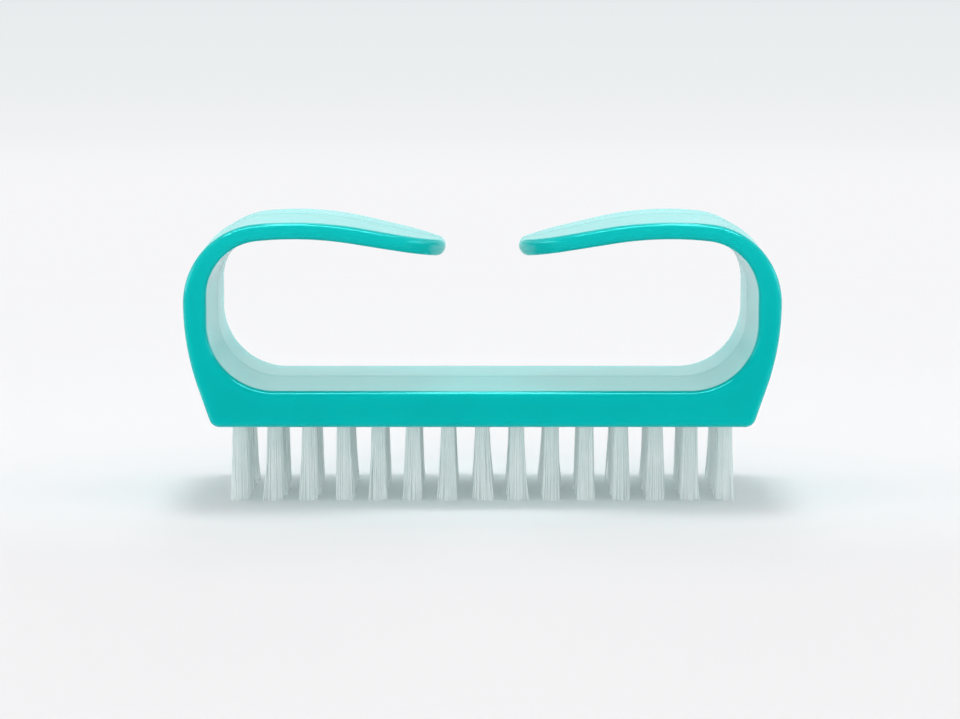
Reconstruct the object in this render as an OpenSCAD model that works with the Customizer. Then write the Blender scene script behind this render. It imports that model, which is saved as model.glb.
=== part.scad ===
// Nail brush with two open, arched arms: one moulded handle, and rows of folded
// nylon tufts, each held in its blind hole by a flat metal anchor.
// Millimetres, +Z up. The origin is on the surface that the bristle tips rest on,
// in the middle of the brush. X runs along the brush and Y from front to back.

/* [Handle] */
// Length over the two end walls, at the parting line
handle_l = 95; // [88:1:120]
// Width from the front face to the back face
handle_w = 36; // [30:1:48]
// Height from the underside of the base to the top of the arms, at the edges
handle_h = 32.4; // [30.5:0.5:45]
// Thickness of the base that holds the tufts
base_t = 5.8; // [5:0.1:8]
// Thickness of the end walls at the height where their inner corners end
wall_t = 3.6; // [3:0.1:5]
// Thickness of the arms where they are highest
arm_t = 2.7; // [2.2:0.1:4]
// Thickness of the arms next to their rounded ends
tip_t = 2.6; // [2:0.1:3.6]
// Gap between the ends of the two arms
tip_gap = 11.4; // [8:0.2:20]
// Width of the arms where their rounded ends begin
arm_end_w = 24.6; // [16:0.2:30]
// Length of the rounded end of each arm, seen from above
nose_l = 7.4; // [4:0.2:10]

/* [Handle curves] */
// Outer radius of the end walls
wall_r = 41; // [34:1:80]
// Lean of the straight lower part of the end walls, in degrees from upright
wall_lean = 19; // [8:0.5:30]
// Radius of the corners between the underside and the end walls
foot_r = 1.8; // [1:0.1:3]
// Outer radius of the shoulders, where the end walls turn over into the arms
shoulder_r = 12.6; // [10:0.2:16]
// Outer radius of the long curve along the top of each arm
crown_r = 55; // [40:1:80]
// Distance from the end wall in to the highest point of the arm
crown_in = 16.8; // [16.2:0.2:22]
// Distance from the end wall in to where the arm begins to narrow, seen from above
taper_in = 8.2; // [6:0.2:18]
// Slope of each arm down towards its end, in degrees
arm_slope = 11.6; // [6:0.2:14]
// Radius of the inner corners between the base and the end walls
inner_corner_r = 10.6; // [6:0.2:13]
// Rounding along the front and back edges
edge_r = 1.2; // [0.6:0.1:1.5]
// Draft angle of the moulded faces on each side of the parting line
draft = 1.1; // [0.5:0.1:1.6]

/* [Tufts] */
// Free length of the bristles below the base
bristle_l = 12.6; // [9:0.2:18]
// Number of tufts in each row
tuft_columns = 15; // [9:1:17]
// Distance from the end of the flat underside to the centre of the last hole
column_margin = 2.6; // [2:0.1:5]
// Distance from the front or back face to the centre of the nearest hole
row_margin = 7.6; // [4:0.2:9]
// Diameter of the drilled holes
hole_d = 2.5; // [2.2:0.1:3]
// Thickness of the base left above the holes
hole_floor = 1.6; // [1:0.1:2.5]
// Clearance between a tuft and the wall of its hole
tuft_clearance = 0.05; // [0.02:0.01:0.15]
// Diameter of a tuft at its tips, where it has spread
tuft_tip_d = 3.3; // [2.4:0.1:4]
// Number of strands around the middle strand of each tuft
ring_strands = 5; // [3:1:5]
// Width of one strand
strand_w = 0.55; // [0.3:0.05:0.6]

/* [Anchors] */
// Thickness of the flat wire
anchor_t = 0.3; // [0.2:0.05:0.5]
// Height of an anchor
anchor_h = 1.6; // [1:0.1:2]
// How far an anchor bites into the wall of its hole on each side
anchor_bite = 0.2; // [0.1:0.05:0.4]
// Thickness of the fold of the tuft over its anchor
fold_t = 0.8; // [0.4:0.1:1.1]

/* [Hidden] */
row_count = 5;

// How far a cut runs past the face it opens
overrun = 1;
// How far a strand runs up into the packed root of its tuft
strand_embed = 0.5;
// The edge rounding takes at most this share of the thickness there, and of the foot's radius
edge_limit_share = 0.44;
foot_limit_share = 0.9;
// The last ring of an arm's rounded end stands this many degrees round it
nose_end_angle = 82;

// Steps along each stretch of the outline, and round each edge
corner_steps = 4;
foot_steps = 6;
lean_steps = 3;
wall_steps = 7;
shoulder_steps = 14;
crown_steps = 10;
arm_steps = 3;
nose_steps = 8;
edge_steps = 4;

// Heights
base_z = bristle_l;
base_top = base_z + base_t;
arm_top = base_z + handle_h;

// Outer outline, at the edge of the draft faces
half_w = handle_w / 2;
draft_rise = tan(draft) * (half_w - edge_r);
outer_x = handle_l / 2 - draft_rise;
crown_x = outer_x - crown_in;
crown_z = arm_top - crown_r;
crown_start = 180 - asin((crown_in - shoulder_r) / (crown_r - shoulder_r));
crown_end = 180 + arm_slope;
shoulder_z = crown_z - (crown_r - shoulder_r) * cos(crown_start);
wall_x = outer_x - wall_r;
foot_z = base_z + foot_r;

// The end wall curves in until it has its lean and runs straight down from there, unless its
// curve meets the foot first
meeting = acos(min((shoulder_z - foot_z) / (wall_r - foot_r), 1));
leans = 90 - wall_lean > meeting;
foot_end = leans ? 90 - wall_lean : meeting;
lean_l = (shoulder_z - foot_z - (wall_r - foot_r) * cos(foot_end)) / sin(foot_end);
foot_x = wall_x + (wall_r - foot_r) * sin(foot_end) - lean_l * cos(foot_end);

// Inner outline: the arms' underside runs alongside their top
inner_corner_z = base_top + inner_corner_r;
corner_drop = shoulder_z - inner_corner_z;
corner_end_x = corner_drop < wall_r * cos(foot_end)
    ? wall_x + sqrt(pow(wall_r, 2) - pow(corner_drop, 2))
    : wall_x + wall_r * sin(foot_end) - (corner_drop - wall_r * cos(foot_end)) / tan(foot_end);
inner_x = corner_end_x - wall_t;
inner_corner_x = inner_x - inner_corner_r;
inner_crown_r = crown_r - arm_t;
inner_shoulder_r = (inner_x - crown_x - inner_crown_r * sin(crown_start)) / (1 - sin(crown_start));
inner_shoulder_x = inner_x - inner_shoulder_r;
inner_shoulder_z = crown_z - (inner_crown_r - inner_shoulder_r) * cos(crown_start);

// The straight part of an arm, from the end of its crown curve to its tip
arm_start_x = crown_x + crown_r * sin(crown_end);
arm_l = (arm_start_x - tip_gap / 2) / cos(arm_slope);
taper_x = outer_x - taper_in;
nose_x = tip_gap / 2 + nose_l * cos(arm_slope);
taper_depth = max(half_w - arm_end_w / 2, 0);

// Tuft pattern
column_pitch = 2 * (foot_x - column_margin) / (tuft_columns - 1);
row_pitch = 2 * (half_w - row_margin) / (row_count - 1);
hole_depth = base_t - hole_floor;
plug_r = hole_d / 2 - tuft_clearance;
anchor_w = hole_d + 2 * anchor_bite;
anchor_z = base_z + hole_depth - fold_t - anchor_h;
strand_root_r = plug_r - 2 * strand_w / 3;
strand_tip_r = max(tuft_tip_d / 2 - strand_w / 2, strand_root_r);

function column_x(i) = (i - (tuft_columns - 1) / 2) * column_pitch;
function row_y(j) = (j - (row_count - 1) / 2) * row_pitch;

// An outline point is [x, z, heading]: the heading turns left from 0 along the base
function arc(x, z, r, from, to, steps) = [
    for (i = [1:steps])
        let (h = from + (to - from) * i / steps)
        [x + r * sin(h), z - r * cos(h), h]
];

// The flat underside out to the foot, from over the start of the inner corner
function underside(steps) =
    let (from = min(inner_corner_x, foot_x))
    concat(
        [[0, base_z, 0], [from, base_z, 0]],
        [for (i = [1:steps]) if (from < foot_x) [from + (foot_x - from) * i / steps, base_z, 0]]
    );

// The straight lower part of the end wall
function leaning(steps) = [
    for (i = [1:steps])
        let (up = lean_l * i / steps)
        [
            foot_x + foot_r * sin(foot_end) + up * cos(foot_end),
            foot_z - foot_r * cos(foot_end) + up * sin(foot_end),
            foot_end
        ]
];

// The point of the inner outline that faces this outer point: straight above it over the flat
// of the base, on a ray from the middle of the inner corner, and level with it up the end wall
function facing(p) =
    p[0] <= inner_corner_x && p[1] < base_top ? [p[0], base_top, 0]
    : p[1] < inner_corner_z
        ? let (h = max(atan2(p[0] - inner_corner_x, inner_corner_z - p[1]), 0))
          [inner_corner_x + inner_corner_r * sin(h), inner_corner_z - inner_corner_r * cos(h), h]
    : [
        inner_x,
        inner_corner_z + (p[1] - inner_corner_z)
            * (inner_shoulder_z - inner_corner_z) / (shoulder_z - inner_corner_z),
        90
    ];

// Half the width at this distance from the middle: the arms narrow along a curve
function narrowed(x) =
    x > taper_x ? half_w : half_w - taper_depth * pow((taper_x - x) / (taper_x - nose_x), 2);

// The thickness at this distance from the very end of an arm, which is rounded as well
function end_thickness(left) =
    left < tip_t / 2 ? tip_t * sqrt(1 - pow(1 - left / (tip_t / 2), 2)) : tip_t;

// The arm past its crown curve, with half an ellipse as its end:
// [distance along, share of the width, depth of the top face, thickness] at each ring
arm_rings = concat(
    [
        for (i = [1:arm_steps])
            let (share = i / arm_steps)
            [(arm_l - nose_l) * share, 1, 0, arm_t + (tip_t - arm_t) * share]
    ],
    [
        for (i = [1:nose_steps])
            let (
                a = nose_end_angle * i / nose_steps,
                left = nose_l * (1 - sin(a)),
                end_t = end_thickness(left)
            )
            [arm_l - left, cos(a), (tip_t - end_t) / 2, end_t]
    ]
);

// A point beside the arm's top line: this far along it, and this far under it
function beside_arm(along, under) = [
    arm_start_x - along * cos(arm_slope) - under * sin(crown_end),
    crown_z - crown_r * cos(crown_end) - along * sin(arm_slope) + under * cos(crown_end),
    crown_end
];

base_outline = concat(
    underside(corner_steps),
    arc(foot_x, foot_z, foot_r, 0, foot_end, foot_steps),
    leans ? leaning(lean_steps) : [],
    arc(wall_x, shoulder_z, wall_r, foot_end, 90, wall_steps)
);
outer_outline = concat(
    base_outline,
    arc(outer_x - shoulder_r, shoulder_z, shoulder_r, 90, crown_start, shoulder_steps),
    arc(crown_x, crown_z, crown_r, crown_start, crown_end, crown_steps),
    [for (q = arm_rings) beside_arm(q[0], q[2])]
);
inner_outline = concat(
    [for (p = base_outline) facing(p)],
    arc(inner_shoulder_x, inner_shoulder_z, inner_shoulder_r, 90, crown_start, shoulder_steps),
    arc(crown_x, crown_z, inner_crown_r, crown_start, crown_end, crown_steps),
    [for (q = arm_rings) beside_arm(q[0], q[2] + q[3])]
);
body_rings = len(outer_outline) - len(arm_rings);

function backwards(list) = [for (i = [len(list) - 1:-1:0]) list[i]];

// Half of the section across the strap, from a side face to the edge of the draft: [y, offset]
function edge_arc(half, r, side) = [
    for (i = [0:edge_steps])
        let (a = 90 * i / edge_steps)
        [side * (half - r + r * cos(a)), r * (sin(a) - 1)]
];

// The whole section, from the front face over the parting line to the back face
function across(half, r, rise) =
    concat(edge_arc(half, r, -1), [[0, rise]], backwards(edge_arc(half, r, 1)));

// The section laid on an outline point. The inner skin faces the other way from the outer.
function laid_on(p, skin, section, mirrored) = [
    for (q = section)
        [
            mirrored * (p[0] + skin * sin(p[2]) * q[1]),
            q[0],
            p[1] - skin * cos(p[2]) * q[1]
        ]
];

// The underside stays flat, so that the holes start from a true plane
function draft_share(heading) = min(heading / foot_end, 1);

// Half the width at this ring: full round the base, and less along the arm and round its end
function half_width(i) =
    i < len(base_outline) ? half_w
    : narrowed(outer_outline[i][0]) * (i < body_rings ? 1 : arm_rings[i - body_rings][1]);

function thickness(i) = norm([
    outer_outline[i][0] - inner_outline[i][0],
    outer_outline[i][1] - inner_outline[i][1]
]);

// One closed ring of points round the strap
function ring(i, mirrored) =
    let (
        half = half_width(i),
        limit = edge_limit_share * min(thickness(i), 2 * half),
        r = min(edge_r, foot_limit_share * foot_r, limit),
        rise = tan(draft) * (half - r),
        outer = across(half, r, rise * draft_share(outer_outline[i][2])),
        inner = across(half, r, rise)
    )
    concat(
        laid_on(outer_outline[i], 1, outer, mirrored),
        backwards(laid_on(inner_outline[i], -1, inner, mirrored))
    );

// One closed skin from the end of the left arm to the end of the right arm
module handle_skin() {
    last = len(outer_outline) - 1;
    rings = concat([for (i = [last:-1:1]) ring(i, -1)], [for (i = [0:last]) ring(i, 1)]);
    around = len(rings[0]);
    end = (len(rings) - 1) * around;
    bands = [
        for (k = [0:len(rings) - 2], j = [0:around - 1])
            let (
                a = k * around + j,
                b = k * around + (j + 1) % around,
                c = b + around,
                d = a + around
            )
            each [[a, c, b], [a, d, c]]
    ];
    left_cap = [for (j = [1:around - 2]) [0, j, j + 1]];
    right_cap = [for (j = [1:around - 2]) [end, end + j + 1, end + j]];
    polyhedron(
        points = [for (one = rings) each one],
        faces = concat(bands, left_cap, right_cap)
    );
}

// A drilled hole, with the groove that its anchor cuts on the way in
module tuft_hole() {
    translate([0, 0, -overrun])
        cylinder(d = hole_d, h = hole_depth + overrun, $fn = 32);
    translate([-anchor_w / 2, -anchor_t / 2, -overrun])
        cube([anchor_w, anchor_t, anchor_z + anchor_h - base_z + overrun]);
}

module handle() {
    color([0.02, 0.71, 0.69])
        difference() {
            handle_skin();
            for (i = [0:tuft_columns - 1], j = [0:row_count - 1])
                translate([column_x(i), row_y(j), base_z])
                    tuft_hole();
        }
}

// A four-sided strand that leans out evenly from its root to the trimmed tip
module strand(angle, root_r, tip_r) {
    corners = [[-1, -1], [1, -1], [1, 1], [-1, 1]] * strand_w / 2;
    turn = [[cos(angle), sin(angle)], [-sin(angle), cos(angle)]];
    tip = [for (c = corners) concat((c + [tip_r, 0]) * turn, 0)];
    root = [for (c = corners) concat((c + [root_r, 0]) * turn, base_z + strand_embed)];
    sides = [for (i = [0:3]) let (n = (i + 1) % 4) each [[i, i + 4, n], [n, i + 4, n + 4]]];
    polyhedron(
        points = concat(tip, root),
        faces = concat([[0, 1, 2], [0, 2, 3], [4, 6, 5], [4, 7, 6]], sides)
    );
}

// A bundle folded over its anchor: the packed root fills the hole, the strands hang free
module tuft() {
    difference() {
        translate([0, 0, base_z])
            cylinder(r = plug_r, h = hole_depth, $fn = 32);
        translate([-anchor_w / 2, -anchor_t / 2, anchor_z])
            cube([anchor_w, anchor_t, anchor_h]);
    }
    strand(0, 0, 0);
    for (i = [0:ring_strands - 1])
        strand(360 * i / ring_strands, strand_root_r, strand_tip_r);
}

module tuft_row(j) {
    color([0.93, 0.95, 0.94])
        for (i = [0:tuft_columns - 1])
            translate([column_x(i), row_y(j), 0])
                tuft();
}

module anchor_row(j) {
    color("silver")
        for (i = [0:tuft_columns - 1])
            translate([column_x(i) - anchor_w / 2, row_y(j) - anchor_t / 2, anchor_z])
                cube([anchor_w, anchor_t, anchor_h]);
}

handle();
tuft_row(0);  // front_tuft_row
tuft_row(1);  // second_tuft_row
tuft_row(2);  // middle_tuft_row
tuft_row(3);  // fourth_tuft_row
tuft_row(4);  // back_tuft_row
anchor_row(0);  // front_anchor_row
anchor_row(1);  // second_anchor_row
anchor_row(2);  // middle_anchor_row
anchor_row(3);  // fourth_anchor_row
anchor_row(4);  // back_anchor_row
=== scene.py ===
# The looks of the nail brush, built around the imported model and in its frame.
# The outline and the tuft pattern repeat the part's own formulas, in millimetres.
import math

import bpy
import numpy as np
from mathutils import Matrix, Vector, geometry


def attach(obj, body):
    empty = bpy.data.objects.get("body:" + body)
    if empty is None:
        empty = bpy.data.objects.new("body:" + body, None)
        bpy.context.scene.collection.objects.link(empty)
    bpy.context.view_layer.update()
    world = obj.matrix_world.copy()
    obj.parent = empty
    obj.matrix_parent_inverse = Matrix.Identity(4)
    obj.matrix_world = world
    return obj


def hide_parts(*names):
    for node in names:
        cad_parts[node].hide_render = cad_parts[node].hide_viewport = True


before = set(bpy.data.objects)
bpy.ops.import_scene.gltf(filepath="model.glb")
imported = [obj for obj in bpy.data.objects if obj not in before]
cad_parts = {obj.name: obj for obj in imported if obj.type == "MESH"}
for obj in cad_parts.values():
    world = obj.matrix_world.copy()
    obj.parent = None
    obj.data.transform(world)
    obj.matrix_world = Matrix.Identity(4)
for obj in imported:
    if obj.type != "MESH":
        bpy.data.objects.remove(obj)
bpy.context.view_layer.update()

MM = 0.001
ROWS = ["front", "second", "middle", "fourth", "back"]

# Sizes of the handle, as in the part
HANDLE_L = 95.0
HANDLE_W = 36.0
HANDLE_H = 32.4
BASE_T = 5.8
WALL_T = 3.6
ARM_T = 2.7
TIP_T = 2.6
TIP_GAP = 11.4
ARM_END_W = 24.6
NOSE_L = 7.4
WALL_R = 41.0
WALL_LEAN = math.radians(19)
FOOT_R = 1.8
SHOULDER_R = 12.6
CROWN_R = 55.0
CROWN_IN = 16.8
TAPER_IN = 8.2
ARM_SLOPE = math.radians(11.6)
CORNER_R = 10.6
EDGE_R = 1.2
EDGE_LIMIT_SHARE = 0.44
FOOT_LIMIT_SHARE = 0.9
DRAFT = math.tan(math.radians(1.1))

# Sizes of the tufts, as in the part
BRISTLE_L = 12.6
COLUMNS = 15
COLUMN_MARGIN = 2.6
ROW_MARGIN = 7.6
HOLE_D = 2.5
HOLE_FLOOR = 1.6
TUFT_TIP_D = 3.3
ANCHOR_T = 0.3
FOLD_T = 0.8

# Derived, as in the part
BASE_Z = BRISTLE_L
BASE_TOP = BASE_Z + BASE_T
ARM_TOP = BASE_Z + HANDLE_H
HALF_W = HANDLE_W / 2
OUTER_X = HANDLE_L / 2 - DRAFT * (HALF_W - EDGE_R)
CROWN_X = OUTER_X - CROWN_IN
CROWN_Z = ARM_TOP - CROWN_R
CROWN_START = math.pi - math.asin((CROWN_IN - SHOULDER_R) / (CROWN_R - SHOULDER_R))
CROWN_END = math.pi + ARM_SLOPE
SHOULDER_Z = CROWN_Z - (CROWN_R - SHOULDER_R) * math.cos(CROWN_START)
WALL_X = OUTER_X - WALL_R
FOOT_Z = BASE_Z + FOOT_R
FOOT_END = math.pi / 2 - WALL_LEAN
LEAN_L = (SHOULDER_Z - FOOT_Z - (WALL_R - FOOT_R) * math.cos(FOOT_END)) / math.sin(FOOT_END)
FOOT_X = WALL_X + (WALL_R - FOOT_R) * math.sin(FOOT_END) - LEAN_L * math.cos(FOOT_END)
CORNER_Z = BASE_TOP + CORNER_R
CORNER_END_X = WALL_X + math.sqrt(WALL_R**2 - (SHOULDER_Z - CORNER_Z) ** 2)
INNER_X = CORNER_END_X - WALL_T
CORNER_X = INNER_X - CORNER_R
INNER_CROWN_R = CROWN_R - ARM_T
INNER_SHOULDER_R = (INNER_X - CROWN_X - INNER_CROWN_R * math.sin(CROWN_START)) / (
    1 - math.sin(CROWN_START)
)
INNER_SHOULDER_X = INNER_X - INNER_SHOULDER_R
INNER_SHOULDER_Z = CROWN_Z - (INNER_CROWN_R - INNER_SHOULDER_R) * math.cos(CROWN_START)
ARM_X = CROWN_X + CROWN_R * math.sin(CROWN_END)
ARM_L = (ARM_X - TIP_GAP / 2) / math.cos(ARM_SLOPE)
TAPER_X = OUTER_X - TAPER_IN
NOSE_X = TIP_GAP / 2 + NOSE_L * math.cos(ARM_SLOPE)
TAPER_DEPTH = HALF_W - ARM_END_W / 2
COLUMN_PITCH = 2 * (FOOT_X - COLUMN_MARGIN) / (COLUMNS - 1)
ROW_PITCH = 2 * (HALF_W - ROW_MARGIN) / (len(ROWS) - 1)
HOLE_DEPTH = BASE_T - HOLE_FLOOR


def column_x(i):
    return (i - (COLUMNS - 1) / 2) * COLUMN_PITCH


def row_y(j):
    return (j - (len(ROWS) - 1) / 2) * ROW_PITCH


def new_piece(name, points, faces, material):
    """A smooth-shaded mesh object from points in millimetres"""
    mesh = bpy.data.meshes.new(name)
    mesh.from_pydata((np.asarray(points, float) * MM).tolist(), [], faces)
    mesh.polygons.foreach_set("use_smooth", [True] * len(mesh.polygons))
    mesh.materials.append(material)
    mesh.update()
    piece = bpy.data.objects.new(name, mesh)
    bpy.context.scene.collection.objects.link(piece)
    return piece


# Materials, with lengths in metres

# The plastic: darker and lighter clouds, and a painted glow that colours the upper part with the
# thin arms lighter than the thick base, standing in for the light the thin arms let through
TEAL_DARK = (0.0, 0.412, 0.397)
TEAL_LIGHT = (0.0, 0.448, 0.428)
TEAL_PAINTED_GLOW = (0.003, 0.468, 0.446)
PAINTED_GLOW_FROM_Z = 0.026
PAINTED_GLOW_TO_Z = 0.044
TEAL_GLOSS = (0.05, 1.0, 1.0, 1.0)
TEAL_SHEEN = (0.25, 1.0, 1.0, 1.0)
TEAL_SCATTER = (0.5, 1.0, 1.0)

# The filaments: one shade each, with paler patches, and what shines through them
NYLON_DARK = (0.69, 0.78, 0.775)
NYLON_LIGHT = (0.75, 0.83, 0.825)
NYLON_PALE = (0.96, 0.98, 0.975)
NYLON_THROUGH = (0.975, 0.99, 0.985, 1)
THROUGH_SHARE = 0.1

# The anchors' flat wire, streaked along its length
WIRE_DARK = (0.50, 0.49, 0.47)
WIRE_LIGHT = (0.66, 0.65, 0.63)

# Where a noise texture's values mostly lie
NOISE_LOW = 0.25
NOISE_HIGH = 0.75

# Sockets of a Mix node that mixes colours
MIX_FACTOR, MIX_ONE, MIX_TWO, MIX_RESULT = 0, 6, 7, 2


class Nodes:
    """A short way to build a node tree"""

    def __init__(self, name):
        self.material = bpy.data.materials.new(name)
        self.material.use_nodes = True
        self.tree = self.material.node_tree
        self.tree.nodes.clear()

    def add(self, kind, values=None, **settings):
        node = self.tree.nodes.new(kind)
        for key, value in settings.items():
            setattr(node, key, value)
        for key, value in (values or {}).items():
            if isinstance(value, bpy.types.NodeSocket):
                self.tree.links.new(value, node.inputs[key])
            else:
                node.inputs[key].default_value = value
        return node

    def place(self, scale):
        """Object coordinates, in units of scale metres along each axis"""
        coordinates = self.add("ShaderNodeTexCoord").outputs["Object"]
        return self.add(
            "ShaderNodeMapping", {"Vector": coordinates, "Scale": [1 / s for s in scale]}
        ).outputs["Vector"]

    def noise(self, scale, detail=2.0, rough=0.5):
        return self.add(
            "ShaderNodeTexNoise",
            {"Vector": self.place(scale), "Scale": 1.0, "Detail": detail, "Roughness": rough},
        ).outputs["Fac"]

    def spread(self, value, low, high, low_in=NOISE_LOW, high_in=NOISE_HIGH):
        """The value's range from low_in to high_in, spread from low to high"""
        return self.add(
            "ShaderNodeMapRange",
            {
                "Value": value,
                "From Min": low_in,
                "From Max": high_in,
                "To Min": low,
                "To Max": high,
            },
        ).outputs["Result"]

    def calculate(self, operation, one, two):
        return self.add("ShaderNodeMath", {0: one, 1: two}, operation=operation).outputs[0]

    def blend(self, factor, one, two):
        """One colour at factor 0 and the other at factor 1"""
        one, two = (c if isinstance(c, bpy.types.NodeSocket) else (*c, 1) for c in (one, two))
        values = {MIX_FACTOR: factor, MIX_ONE: one, MIX_TWO: two}
        return self.add("ShaderNodeMix", values, data_type="RGBA").outputs[MIX_RESULT]

    def bump(self, height, distance, strength=1.0, normal=None):
        values = {"Height": height, "Distance": distance, "Strength": strength}
        if normal is not None:
            values["Normal"] = normal
        return self.add("ShaderNodeBump", values).outputs["Normal"]

    def finish(self, shader):
        output = self.add("ShaderNodeOutputMaterial")
        self.tree.links.new(shader, output.inputs["Surface"])
        return self.material


def teal_plastic():
    n = Nodes("teal_plastic")
    clouds = n.spread(n.noise((0.02, 0.02, 0.02), 2.0), 0.0, 1.0)
    colour = n.blend(clouds, TEAL_DARK, TEAL_LIGHT)
    place = n.add("ShaderNodeTexCoord").outputs["Object"]
    height = n.add("ShaderNodeSeparateXYZ", {"Vector": place}).outputs["Z"]
    # Painted glow: the colour turns lighter with height, up into the arms
    colour = n.blend(n.spread(height, 0.0, 1.0, PAINTED_GLOW_FROM_Z, PAINTED_GLOW_TO_Z), colour, TEAL_PAINTED_GLOW)
    polish = n.spread(n.noise((0.006, 0.006, 0.006), 3.0), 0.11, 0.17)
    waves = n.noise((0.012, 0.012, 0.012), 1.0)
    grain = n.noise((0.0004, 0.0004, 0.0004), 2.0)
    normal = n.bump(waves, 0.00003, 0.5)
    normal = n.bump(grain, 0.000002, 0.4, normal)
    shader = n.add(
        "ShaderNodeBsdfPrincipled",
        {
            "Base Color": colour,
            "Roughness": polish,
            "IOR": 1.5,
            "Specular Tint": TEAL_GLOSS,
            "Subsurface Weight": 0.5,
            "Subsurface Radius": TEAL_SCATTER,
            "Subsurface Scale": 0.004,
            "Sheen Weight": 0.38,
            "Sheen Roughness": 0.42,
            "Sheen Tint": TEAL_SHEEN,
            "Normal": normal,
        },
    )
    return n.finish(shader.outputs[0])


def nylon():
    n = Nodes("nylon")
    per_strand = n.noise((0.00025, 0.00025, 0.02), 1.0)
    patches = n.noise((0.003, 0.003, 0.004), 2.0)
    colour = n.blend(n.spread(per_strand, 0.0, 1.0), NYLON_DARK, NYLON_LIGHT)
    colour = n.blend(n.spread(patches, 0.0, 0.35), colour, NYLON_PALE)
    shader = n.add(
        "ShaderNodeBsdfPrincipled",
        {
            "Base Color": colour,
            "Roughness": n.spread(per_strand, 0.28, 0.42),
            "IOR": 1.53,
            "Normal": n.bump(n.noise((0.0001, 0.0001, 0.0004), 2.0), 0.00001, 0.3),
        },
    )
    through = n.add("ShaderNodeBsdfTranslucent", {"Color": NYLON_THROUGH})
    both = n.add(
        "ShaderNodeMixShader", {"Fac": THROUGH_SHARE, 1: shader.outputs[0], 2: through.outputs[0]}
    )
    return n.finish(both.outputs[0])


def wire():
    n = Nodes("wire")
    drawn = n.noise((0.002, 0.00003, 0.00003), 3.0, 0.6)
    shader = n.add(
        "ShaderNodeBsdfPrincipled",
        {
            "Base Color": n.blend(n.spread(drawn, 0.0, 1.0), WIRE_DARK, WIRE_LIGHT),
            "Metallic": 1.0,
            "Roughness": n.spread(drawn, 0.25, 0.45),
            "Normal": n.bump(drawn, 0.000004, 0.5),
        },
    )
    return n.finish(shader.outputs[0])


# Handle

# Steps along the outline and round the edges
CORNER_STEPS = 10
FOOT_STEPS = 12
LEAN_STEPS = 8
WALL_STEPS = 24
SHOULDER_STEPS = 36
CROWN_STEPS = 22
ARM_STEPS = 8
NOSE_STEPS = 20
EDGE_STEPS = 9

# The rounded end of an arm stops just short of its point
NOSE_END = math.radians(88.5)

# A hole boundary nearer to a corner than this gets no ring of its own
CORNER_ROOM = 1

# Points close to each edge keep the shading of the flat faces even
FLAT_INSET = 0.5
FLAT_INSET_SHARE = 0.2
SIDE_SHARES = [0.12, 0.5, 0.88]

# The parting line at mid width is a fine raised seam, narrower where the flat beside it is short
SEAM_H = 0.02
SEAM_ROOM = 2
SEAM = [
    (-0.34, 0.0),
    (-0.13, 0.0),
    (-0.07, 0.7),
    (0.0, 1.0),
    (0.07, 0.7),
    (0.13, 0.0),
    (0.34, 0.0),
]
SECTION_POINTS = 2 * (EDGE_STEPS + 1) + len(SEAM) + 2

# The drilled holes: chamfered mouths, a band of even faces round each and a loop below it
HOLE_SIDES = 28
HOLE_CHAMFER = 0.08
HOLE_BAND = 0.14
HOLE_LOOP_Z = 0.3

# For the triangles between the holes: the gap at which points merge, and the share of a hole's
# radius within which a triangle belongs to the hole
MERGE_GAP = 1e-6
INSIDE_SHARE = 0.999

# Edges sharper than this are shaded as edges
HANDLE_SHARP = math.radians(70)


def arc(x, z, r, start, end, steps):
    """Outline points [x, z, heading], from just after start to end"""
    h = start + (end - start) * np.arange(1, steps + 1) / steps
    return np.column_stack([x + r * np.sin(h), z - r * np.cos(h), h])


def leaning():
    """The straight lower part of the end wall"""
    up = LEAN_L * np.arange(1, LEAN_STEPS + 1) / LEAN_STEPS
    x = FOOT_X + FOOT_R * math.sin(FOOT_END) + up * math.cos(FOOT_END)
    z = FOOT_Z - FOOT_R * math.cos(FOOT_END) + up * math.sin(FOOT_END)
    return np.column_stack([x, z, np.full(LEAN_STEPS, FOOT_END)])


def arm_rings():
    """[distance along the arm, share of the width, depth of the top, thickness] past the crown"""
    straight = ARM_L - NOSE_L
    shares = np.linspace(0, 1, ARM_STEPS + 1)[1:]
    rings = [(straight * t, 1, 0, ARM_T + (TIP_T - ARM_T) * t) for t in shares]
    for a in NOSE_END * np.sin(np.linspace(0, math.pi / 2, NOSE_STEPS + 1)[1:]):
        left = NOSE_L * (1 - math.sin(a))
        share = min(left / (TIP_T / 2), 1)
        end_t = TIP_T * math.sqrt(1 - (1 - share) ** 2)
        rings.append((ARM_L - left, math.cos(a), (TIP_T - end_t) / 2, end_t))
    return rings


def narrowed(x):
    """Half the width at this distance from the middle: the arms narrow along a curve"""
    return HALF_W - TAPER_DEPTH * (max(TAPER_X - x, 0) / (TAPER_X - NOSE_X)) ** 2


def facing(p):
    """The point of the inner outline that faces this point of the base, foot or end wall"""
    x, z = p[0], p[1]
    if x <= CORNER_X and z < BASE_TOP:
        return [x, BASE_TOP, 0]
    if z < CORNER_Z:
        h = math.atan2(x - CORNER_X, CORNER_Z - z)
        return [CORNER_X + CORNER_R * math.sin(h), CORNER_Z - CORNER_R * math.cos(h), h]
    rise = (INNER_SHOULDER_Z - CORNER_Z) / (SHOULDER_Z - CORNER_Z)
    return [INNER_X, CORNER_Z + (z - CORNER_Z) * rise, math.pi / 2]


def beside_arm(along, under):
    """The outline point this far along the arm's top and this far under it"""
    return [
        ARM_X - along * math.cos(ARM_SLOPE) - under * math.sin(CROWN_END),
        CROWN_Z - CROWN_R * math.cos(CROWN_END) - along * math.sin(ARM_SLOPE)
        + under * math.cos(CROWN_END),
        CROWN_END,
    ]


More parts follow.
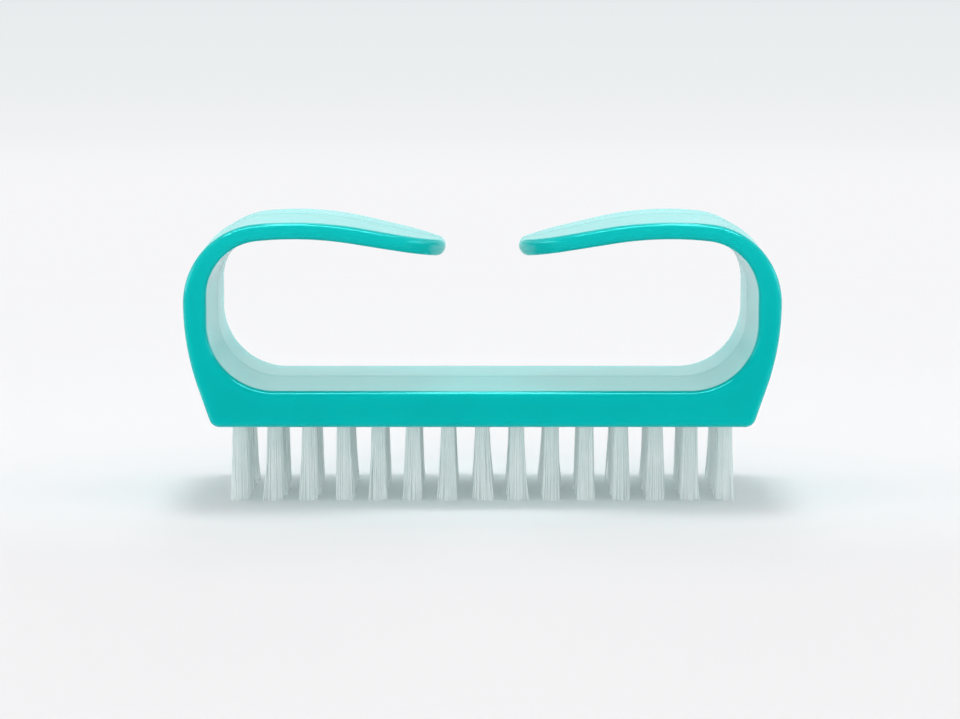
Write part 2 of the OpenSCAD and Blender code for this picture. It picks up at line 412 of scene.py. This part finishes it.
def skin_section(half, r, rise, seam):
    """[y, offset] from the front edge over the parting line to the back edge"""
    a = np.linspace(0, math.pi / 2, EDGE_STEPS + 1)
    front = np.column_stack([-(half - r + r * np.cos(a)), r * (np.sin(a) - 1)])
    flat = half - r
    inset = min(FLAT_INSET, FLAT_INSET_SHARE * flat)
    middle = [(-(flat - inset), rise * inset / flat)]
    for y, h in SEAM:
        y *= min(1, flat / SEAM_ROOM)
        middle.append((y, rise * (1 - abs(y) / flat) + h * seam))
    middle.append((flat - inset, rise * inset / flat))
    back = front[::-1] * [-1, 1]
    return np.vstack([front, middle, back])


def ring(outer, inner, half, thickness):
    """One closed ring of points round the strap: outer skin, back side, inner skin, front side"""
    r = min(EDGE_R, FOOT_LIMIT_SHARE * FOOT_R, EDGE_LIMIT_SHARE * min(thickness, 2 * half))
    rise = DRAFT * (half - r)
    # The underside of the base is flat: draft and seam grow round the foot
    share = min(outer[2] / FOOT_END, 1)
    seam = SEAM_H * min(1, thickness / TIP_T)

    def laid(p, side, section):
        return np.column_stack(
            [
                p[0] + side * math.sin(p[2]) * section[:, 1],
                section[:, 0],
                p[1] - side * math.cos(p[2]) * section[:, 1],
            ]
        )

    top = laid(outer, 1, skin_section(half, r, rise * share, seam * share))
    bottom = laid(inner, -1, skin_section(half, r, rise, seam))[::-1]
    back = [top[-1] + (bottom[0] - top[-1]) * s for s in SIDE_SHARES]
    front = [bottom[-1] + (top[0] - bottom[-1]) * s for s in SIDE_SHARES]
    return np.vstack([top, back, bottom, front])


def half_rings():
    """The right half's rings, from the first boundary between holes to the tip of the arm,
    and how many of them lie on the flat underside"""
    stations = [(k + 0.5) * COLUMN_PITCH for k in range(COLUMNS // 2)]
    stations = [x for x in stations if x < CORNER_X - CORNER_ROOM]
    stations += list(np.linspace(CORNER_X, FOOT_X, CORNER_STEPS + 1))
    arm = arm_rings()
    shoulder = (math.pi / 2, CROWN_START, SHOULDER_STEPS)
    crown = (CROWN_START, CROWN_END, CROWN_STEPS)
    base = np.vstack(
        [
            [[x, BASE_Z, 0] for x in stations],
            arc(FOOT_X, FOOT_Z, FOOT_R, 0, FOOT_END, FOOT_STEPS),
            leaning(),
            arc(WALL_X, SHOULDER_Z, WALL_R, FOOT_END, math.pi / 2, WALL_STEPS),
        ]
    )
    outer = np.vstack(
        [
            base,
            arc(OUTER_X - SHOULDER_R, SHOULDER_Z, SHOULDER_R, *shoulder),
            arc(CROWN_X, CROWN_Z, CROWN_R, *crown),
            [beside_arm(along, depth) for along, _, depth, _ in arm],
        ]
    )
    inner = np.vstack(
        [
            [facing(p) for p in base],
            arc(INNER_SHOULDER_X, INNER_SHOULDER_Z, INNER_SHOULDER_R, *shoulder),
            arc(CROWN_X, CROWN_Z, INNER_CROWN_R, *crown),
            [beside_arm(along, depth + thickness) for along, _, depth, thickness in arm],
        ]
    )
    arm_start = len(outer) - len(arm)
    rings = []
    for i, (o, n) in enumerate(zip(outer, inner)):
        half = HALF_W if i < len(base) else narrowed(o[0])
        half *= arm[i - arm_start][1] if i >= arm_start else 1
        rings.append(ring(o, n, half, math.hypot(o[0] - n[0], o[1] - n[1])))
    return rings, len(stations)


def drill(points, faces, rim):
    """Adds the flat underside within this rim of points, with its drilled holes"""
    flat = [Vector((points[i][0], points[i][1])) for i in rim]
    ids = list(rim)
    lines = [(i, (i + 1) % len(rim)) for i in range(len(rim))]
    turn = np.arange(HOLE_SIDES) / HOLE_SIDES * 2 * math.pi
    circle = np.column_stack([np.cos(turn), np.sin(turn)])
    lip = HOLE_D / 2 + HOLE_CHAMFER
    centres = [(column_x(i), row_y(j)) for j in range(len(ROWS)) for i in range(COLUMNS)]
    mouths = []
    for c in centres:
        for radius in (lip, lip + HOLE_BAND):
            start = len(flat)
            for q in circle * radius + c:
                flat.append(Vector(q))
                ids.append(len(points))
                points.append([q[0], q[1], BASE_Z])
            lines += [(start + i, start + (i + 1) % HOLE_SIDES) for i in range(HOLE_SIDES)]
            if radius == lip:
                mouths.append(ids[start:])
    places, _, triangles, origins, _, _ = geometry.delaunay_2d_cdt(flat, lines, [], 0, MERGE_GAP)
    at = [ids[o[0]] for o in origins]
    spots = np.array(centres)
    hole_reach = lip * INSIDE_SHARE * math.cos(math.pi / HOLE_SIDES)
    for face in triangles:
        centre = np.mean([places[i][:] for i in face], axis=0)
        if np.min(np.hypot(*(spots - centre).T)) > hole_reach:
            faces.append(tuple(at[i] for i in reversed(face)))
    for c, mouth in zip(centres, mouths):
        above = mouth
        for z in (HOLE_CHAMFER, HOLE_LOOP_Z, HOLE_DEPTH):
            start = len(points)
            points += [[q[0], q[1], BASE_Z + z] for q in circle * HOLE_D / 2 + c]
            below, above = above, list(range(start, start + HOLE_SIDES))
            for i in range(HOLE_SIDES):
                n = (i + 1) % HOLE_SIDES
                faces.append((below[i], below[n], above[n], above[i]))
        faces.append(tuple(above))


def build_handle(material):
    right, stations = half_rings()
    left = [r * [-1, 1, 1] for r in right[::-1]]
    rings = left + right
    around = len(rings[0])
    first_base = len(left) - stations
    last_base = len(left) + stations - 1
    edge = EDGE_STEPS
    far_edge = SECTION_POINTS - 1 - EDGE_STEPS
    # On the flat underside, drill() makes the faces instead of the strips between the rings
    points, index = [], []
    for k, one in enumerate(rings):
        row = []
        inside = first_base < k < last_base
        for j, p in enumerate(one):
            if inside and edge < j < far_edge:
                row.append(-1)
            else:
                row.append(len(points))
                points.append(p)
        index.append(row)
    faces = []
    for k in range(len(rings) - 1):
        on_base = first_base <= k < last_base
        for j in range(around):
            if on_base and edge <= j < far_edge:
                continue
            n = (j + 1) % around
            faces.append((index[k][j], index[k + 1][j], index[k + 1][n], index[k][n]))
    faces.append(tuple(index[0]))
    faces.append(tuple(reversed(index[-1])))
    rim = [index[k][edge] for k in range(first_base, last_base)]
    rim += index[last_base][edge:far_edge]
    rim += [index[k][far_edge] for k in range(last_base, first_base, -1)]
    rim += index[first_base][far_edge:edge:-1]
    drill(points, faces, rim)
    piece = new_piece("handle_moulding", points, faces, material)
    piece.data.set_sharp_from_angle(angle=HANDLE_SHARP)
    return piece


# Tufts

# Sizes of the filaments, in the hole and at the tip
STRAND_D = 0.235
STRAND_TIP_D = 0.27
STRAND_PITCH = 0.2135
STRAND_SIDES = 5
FREE_STEPS = 7

# Edges sharper than this are shaded as edges
TUFT_SHARP = math.radians(80)

# Room at the wall of the hole and at the anchor, and how far the mouth closes over the anchor
HOLE_ROOM = 0.04
ANCHOR_ROOM = 0.01
MOUTH_Y_SQUEEZE = 0.1

# More rows and columns of filaments than fit in the hole
PATTERN_ROWS = 8
PATTERN_REACH = 6

# The fold: a filament beside the anchor arches low over it, and one at the wall arches high
FOLD_START_Z = 1.6
FOLD_TURNS = [0, 45, 90, 135, 180]
FOLD_NEAR_Y = 0.2
FOLD_Y_SPAN = HOLE_D / 2 - 0.3
FOLD_NEAR_LIFT = 0.11
FOLD_LIFT_SPAN = FOLD_T - 0.25

# Scatter from tuft to tuft
SEED = 4100
TUFT_SPREAD = 1.04
TUFT_SPREAD_SCATTER = 0.02
TUFT_LEAN_SCATTER = 0.07
TUFT_CURVE = 1.12
TUFT_CURVE_SCATTER = 0.06
TUFT_TURN_SCATTER = 0.05

# Scatter from filament to filament
PLACE_SCATTER = 0.006
SPREAD_SCATTER = 0.035
TIP_SCATTER = 0.045
TRIM_Z = 0.05
TRIM_SCATTER = 0.05

# Some of the outer filaments stray from their tuft
STRAY_REACH = 0.55
STRAY_CHANCE = 0.14
STRAY_TURN_SCATTER = 0.35
STRAY_STARTS = (0.05, 0.45)
STRAY_CURVES = (1.0, 1.7)
STRAY_LENGTHS = (0.18, 0.62)


def folded_pattern():
    """Places of the doubled filaments in the hole, on one side of the anchor"""
    limit = HOLE_D / 2 - STRAND_D / 2 - HOLE_ROOM
    step_y = STRAND_PITCH * math.sqrt(3) / 2
    places = []
    for k in range(PATTERN_ROWS):
        y = ANCHOR_T / 2 + STRAND_D / 2 + ANCHOR_ROOM + k * step_y
        shift = (k % 2) * STRAND_PITCH / 2
        for m in range(-PATTERN_REACH, PATTERN_REACH + 1):
            x = m * STRAND_PITCH + shift
            if x * x + y * y <= limit * limit:
                places.append((x, y))
    return np.array(places)


def tube(path, radius):
    """A ring of points round each point of a path that never runs along X"""
    tangent = np.gradient(path, axis=0)
    tangent /= np.linalg.norm(tangent, axis=1)[:, None]
    side = np.array([1.0, 0, 0]) - tangent[:, :1] * tangent
    side /= np.linalg.norm(side, axis=1)[:, None]
    up = np.cross(tangent, side)
    a = np.arange(STRAND_SIDES) / STRAND_SIDES * 2 * math.pi
    ring = np.cos(a)[None, :, None] * side[:, None, :] + np.sin(a)[None, :, None] * up[:, None, :]
    return path[:, None, :] + ring * np.asarray(radius)[:, None, None]


def free_end(place, tuft, rng, trim):
    """The free part of one strand, from the mouth of its hole down to its trimmed tip"""
    t = np.linspace(0, 1, FREE_STEPS + 1)
    x, y = place
    mouth = np.array([x, y - math.copysign(MOUTH_Y_SQUEEZE, y)])
    spread = tuft["spread"] * (1 + rng.normal(0, SPREAD_SCATTER))
    tip = mouth * spread + tuft["lean"] + rng.normal(0, TIP_SCATTER, 2)
    share = t ** tuft["curve"]
    run = mouth + (tip - mouth) * share[:, None]
    reach = np.linalg.norm(mouth)
    if reach > STRAY_REACH and rng.random() < STRAY_CHANCE:
        away = mouth / reach
        turn = rng.normal(0, STRAY_TURN_SCATTER)
        away = np.array(
            [
                away[0] * math.cos(turn) - away[1] * math.sin(turn),
                away[0] * math.sin(turn) + away[1] * math.cos(turn),
            ]
        )
        start = rng.uniform(*STRAY_STARTS)
        stray = np.clip((t - start) / (1 - start), 0, 1) ** rng.uniform(*STRAY_CURVES)
        run = run + away * (stray * rng.uniform(*STRAY_LENGTHS))[:, None]
    z = BASE_Z + (trim - BASE_Z) * t
    return np.column_stack([run, z])


def filament(x, y, turn, tuft, rng):
    """Rings of points along one doubled filament, from tip to tip through its fold"""
    ends = []
    for side in (-1, 1):
        trim = max(0.0, rng.normal(TRIM_Z, TRIM_SCATTER))
        ends.append(free_end((x + side * turn * y, side * y), tuft, rng, trim))
    crest = BASE_Z + HOLE_DEPTH - FOLD_T
    lift = FOLD_NEAR_LIFT + FOLD_LIFT_SPAN * (y - FOLD_NEAR_Y) / FOLD_Y_SPAN
    fold = [[x, -y, BASE_Z + FOLD_START_Z]]
    fold += [[x, -y * math.cos(a), crest + lift * math.sin(a)] for a in np.radians(FOLD_TURNS)]
    fold += [[x, y, BASE_Z + FOLD_START_Z]]
    path = np.vstack([ends[0][::-1], fold, ends[1]])
    radius = np.interp(path[:, 2], [0, BASE_Z], [STRAND_TIP_D / 2, STRAND_D / 2])
    centre = np.array([tuft["x"], tuft["y"], 0])
    rings = tube(path + centre, radius)
    # The tips are trimmed level
    rings[0, :, 2] = path[0, 2]
    rings[-1, :, 2] = path[-1, 2]
    return rings


def build_tufts(j, material):
    rng = np.random.default_rng(SEED + j)
    pattern = folded_pattern()
    points, faces = [], []
    count = 0
    for i in range(COLUMNS):
        tuft = {
            "x": column_x(i),
            "y": row_y(j),
            "spread": TUFT_TIP_D / HOLE_D * (TUFT_SPREAD + rng.normal(0, TUFT_SPREAD_SCATTER)),
            "lean": rng.normal(0, TUFT_LEAN_SCATTER, 2),
            "curve": TUFT_CURVE + rng.normal(0, TUFT_CURVE_SCATTER),
        }
        turn = rng.normal(0, TUFT_TURN_SCATTER)
        for x, y in pattern + rng.normal(0, PLACE_SCATTER, pattern.shape):
            rings = filament(x, y, turn, tuft, rng)
            start = count
            points.append(rings.reshape(-1, 3))
            count += len(rings) * STRAND_SIDES
            for a in range(start, count - STRAND_SIDES, STRAND_SIDES):
                b = a + STRAND_SIDES
                for s in range(STRAND_SIDES):
                    n = (s + 1) % STRAND_SIDES
                    faces.append((a + s, a + n, b + n, b + s))
            faces.append(tuple(start + s for s in reversed(range(STRAND_SIDES))))
            faces.append(tuple(count - STRAND_SIDES + s for s in range(STRAND_SIDES)))
    piece = new_piece(ROWS[j] + "_tufts", np.vstack(points), faces, material)
    piece.data.set_sharp_from_angle(angle=TUFT_SHARP)
    return piece


# Stage, light and camera, in metres

FLOOR_R = 1.30
FLOOR_RINGS = [0.05, 0.12, 0.25, 0.45, 0.8, FLOOR_R]
COVE_R = 0.60
COVE_STEP = 5
WALL_TOP = 0.62
STAGE_SIDES = 96

# The backdrop's colours, by the share of the way out along the floor and up the wall: darker out
# toward the foot of the wall, a painted shade where the backdrop's light falls off, then white
# higher up
BACKDROP_REACH = 3.0
BACKDROP = [
    (0.30, (0.925, 0.925, 0.94)),
    (0.40, (0.90, 0.905, 0.92)),
    (0.47, (0.865, 0.875, 0.89)),
    (0.52, (0.82, 0.855, 0.865)),
    (0.565, (0.80, 0.832, 0.848)),
    (0.62, (0.98, 0.985, 0.99)),
    (0.66, (1.0, 1.0, 1.0)),
]

# The lit floor: its two shades under the brush, then what each is blended to further out, with
# the distances at which that begins and ends, and at last the side nearer to the camera. Under the
# brush the floor is painted lighter, painted light that lifts the brush's shadow; the darker shades
# further out and on the camera's side are painted shade
PAPER_DARK = (0.91, 0.905, 0.915)
PAPER_LIGHT = (0.92, 0.915, 0.925)
PAPER_PAINTED_SHADE_OUTWARD = [
    (0.018, 0.036, (0.856, 0.851, 0.860)),
    (0.10, 0.20, (0.842, 0.838, 0.847)),
]
PAPER_PAINTED_SHADE_NEAR = (0.81, 0.798, 0.803)
PAINTED_SHADE_NEAR_FROM_Y = -0.02
PAINTED_SHADE_NEAR_TO_Y = -0.06

# Between these distances the lit floor turns into the plain backdrop
LIT_TO = 0.13
PLAIN_FROM = 0.42

WORLD_COLOUR = (0.97, 0.985, 1.0, 1)
WORLD_STRENGTH = 0.58
LIGHT_AIM = Vector((0, 0, 0.03))

CAMERA_PLACE = (-0.00038, -0.502, 0.0795)
CAMERA_DOWN = 6.6
CAMERA_LENS = 116.07
CAMERA_SENSOR = 36.0
CAMERA_CLIP = (0.05, 20)


def stage_material():
    n = Nodes("studio_white")
    surface_point = n.add("ShaderNodeNewGeometry")
    position = surface_point.outputs["Position"]
    place = n.add("ShaderNodeSeparateXYZ", {"Vector": position})
    flat = n.add("ShaderNodeVectorMath", {0: position, 1: (1, 1, 0)}, operation="MULTIPLY")
    length = n.add("ShaderNodeVectorMath", {0: flat.outputs[0]}, operation="LENGTH")
    radius = length.outputs["Value"]
    along = n.calculate("ADD", radius, place.outputs["Z"])
    ramp = n.add("ShaderNodeValToRGB", {"Fac": n.spread(along, 0.0, 1.0, 0.0, BACKDROP_REACH)})
    elements = ramp.color_ramp.elements
    while len(elements) < len(BACKDROP):
        elements.new(0.5)
    for element, (stop, colour) in zip(elements, BACKDROP):
        element.position = stop
        element.color = (*colour, 1)
    glow = n.add("ShaderNodeEmission", {"Color": ramp.outputs["Color"], "Strength": 1.0})
    speckle = n.noise((0.3, 0.3, 0.3), 2.0)
    paper = n.blend(n.spread(speckle, 0, 1), PAPER_DARK, PAPER_LIGHT)
    # Painted shade: the floor is coloured darker further out from the brush
    for start, end, colour in PAPER_PAINTED_SHADE_OUTWARD:
        paper = n.blend(n.spread(radius, 0.0, 1.0, start, end), paper, colour)
    # Painted shade: the floor is coloured darker on the camera's side
    painted_shade_near = n.spread(place.outputs["Y"], 1.0, 0.0, PAINTED_SHADE_NEAR_TO_Y, PAINTED_SHADE_NEAR_FROM_Y)
    paper = n.blend(painted_shade_near, paper, PAPER_PAINTED_SHADE_NEAR)
    board = n.add("ShaderNodeBsdfDiffuse", {"Color": paper})
    # Far from the brush, what is seen is the plain backdrop, directly and in reflections
    ray = n.add("ShaderNodeLightPath")
    seen = n.calculate("MAXIMUM", ray.outputs["Is Camera Ray"], ray.outputs["Is Glossy Ray"])
    seen = n.calculate("MAXIMUM", seen, ray.outputs["Is Transmission Ray"])
    far = n.add(
        "ShaderNodeMapRange",
        {"Value": radius, "From Min": LIT_TO, "From Max": PLAIN_FROM},
        interpolation_type="SMOOTHSTEP",
    )
    share = n.calculate("MULTIPLY", seen, far.outputs[0])
    surface = n.add("ShaderNodeMixShader", {"Fac": share, 1: board.outputs[0], 2: glow.outputs[0]})
    # The floor is one-sided, so that a view from below shows the brush
    clear = n.add("ShaderNodeBsdfTransparent")
    below = surface_point.outputs["Backfacing"]
    sided = n.add("ShaderNodeMixShader", {"Fac": below, 1: surface.outputs[0], 2: clear.outputs[0]})
    return n.finish(sided.outputs[0])


def build_stage():
    """A round floor that curves up into a low wall all round"""
    profile = [(r, 0.0) for r in FLOOR_RINGS]
    for a in np.radians(np.arange(COVE_STEP, 91, COVE_STEP)):
        profile.append((FLOOR_R + COVE_R * math.sin(a), COVE_R * (1 - math.cos(a))))
    profile.append((FLOOR_R + COVE_R, WALL_TOP))
    turns = np.arange(STAGE_SIDES) / STAGE_SIDES * 2 * math.pi
    points = [[0, 0, 0]]
    for r, z in profile:
        points += [[r * math.cos(t), r * math.sin(t), z] for t in turns]
    faces = [(0, 1 + i, 1 + (i + 1) % STAGE_SIDES) for i in range(STAGE_SIDES)]
    for k in range(len(profile) - 1):
        b = 1 + k * STAGE_SIDES
        for i in range(STAGE_SIDES):
            n = (i + 1) % STAGE_SIDES
            faces.append((b + i, b + STAGE_SIDES + i, b + STAGE_SIDES + n, b + n))
    floor = new_piece("studio_floor", np.array(points) / MM, faces, stage_material())


def area_light(name, place, size, power, fill=False, gloss=False):
    """A softbox that points at the brush

    A fill lamp adds no reflection and no shadow of its own. A gloss lamp adds only reflections.
    """
    data = bpy.data.lights.new(name, "AREA")
    data.shape = "RECTANGLE"
    data.size, data.size_y = size
    data.energy = power
    data.use_shadow = not fill
    light = bpy.data.objects.new(name, data)
    light.location = place
    light.rotation_euler = (LIGHT_AIM - Vector(place)).to_track_quat("-Z", "Y").to_euler()
    light.visible_camera = False
    light.visible_glossy = not fill
    light.visible_diffuse = not gloss
    bpy.context.scene.collection.objects.link(light)


def build_light():
    world = bpy.data.worlds.new("studio_world")
    bpy.context.scene.world = world
    world.use_nodes = True
    background = world.node_tree.nodes["Background"]
    background.inputs["Color"].default_value = WORLD_COLOUR
    background.inputs["Strength"].default_value = WORLD_STRENGTH
    area_light("top_softbox", (0, 0.2, 1.13), (0.26, 0.3), 3.0)
    area_light("top_gloss", (0, -0.15, 1.13), (1.6, 0.3), 18.5, gloss=True)
    area_light("top_back_strip", (0, 1.0, 1.0), (0.26, 0.5), 1.2)
    area_light("left_softbox", (-1.4, 0, 0.36), (0.8, 0.5), 3.4)
    area_light("right_softbox", (1.4, 0, 0.36), (0.8, 0.5), 3.4)
    area_light("top_fill", (0, 0, 1.2), (0.5, 0.5), 1.3, fill=True)
    area_light("front_fill", (0, -1.3, 0.42), (0.4, 0.4), 6.0, fill=True)
    area_light("back_fill", (0, 1.35, 0.5), (0.3, 0.35), 1.5, fill=True)


def build_camera():
    data = bpy.data.cameras.new("photo_camera")
    data.lens = CAMERA_LENS
    data.sensor_width = CAMERA_SENSOR
    camera = bpy.data.objects.new("photo_camera", data)
    camera.location = CAMERA_PLACE
    camera.rotation_euler = (math.radians(90 - CAMERA_DOWN), 0, 0)
    data.clip_start, data.clip_end = CAMERA_CLIP
    bpy.context.scene.collection.objects.link(camera)
    bpy.context.scene.camera = camera


def main():
    build_camera()
    plastic, fibre, metal = teal_plastic(), nylon(), wire()
    handle = build_handle(plastic)
    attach(handle, "root")
    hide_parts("handle")
    for j, row in enumerate(ROWS):
        tufts = build_tufts(j, fibre)
        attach(tufts, "root")
        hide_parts(row + "_tuft_row")
        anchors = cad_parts[row + "_anchor_row"]
        anchors.data.materials.clear()
        anchors.data.materials.append(metal)
    build_stage()
    build_light()
    bpy.context.scene.view_settings.view_transform = "Standard"


main()
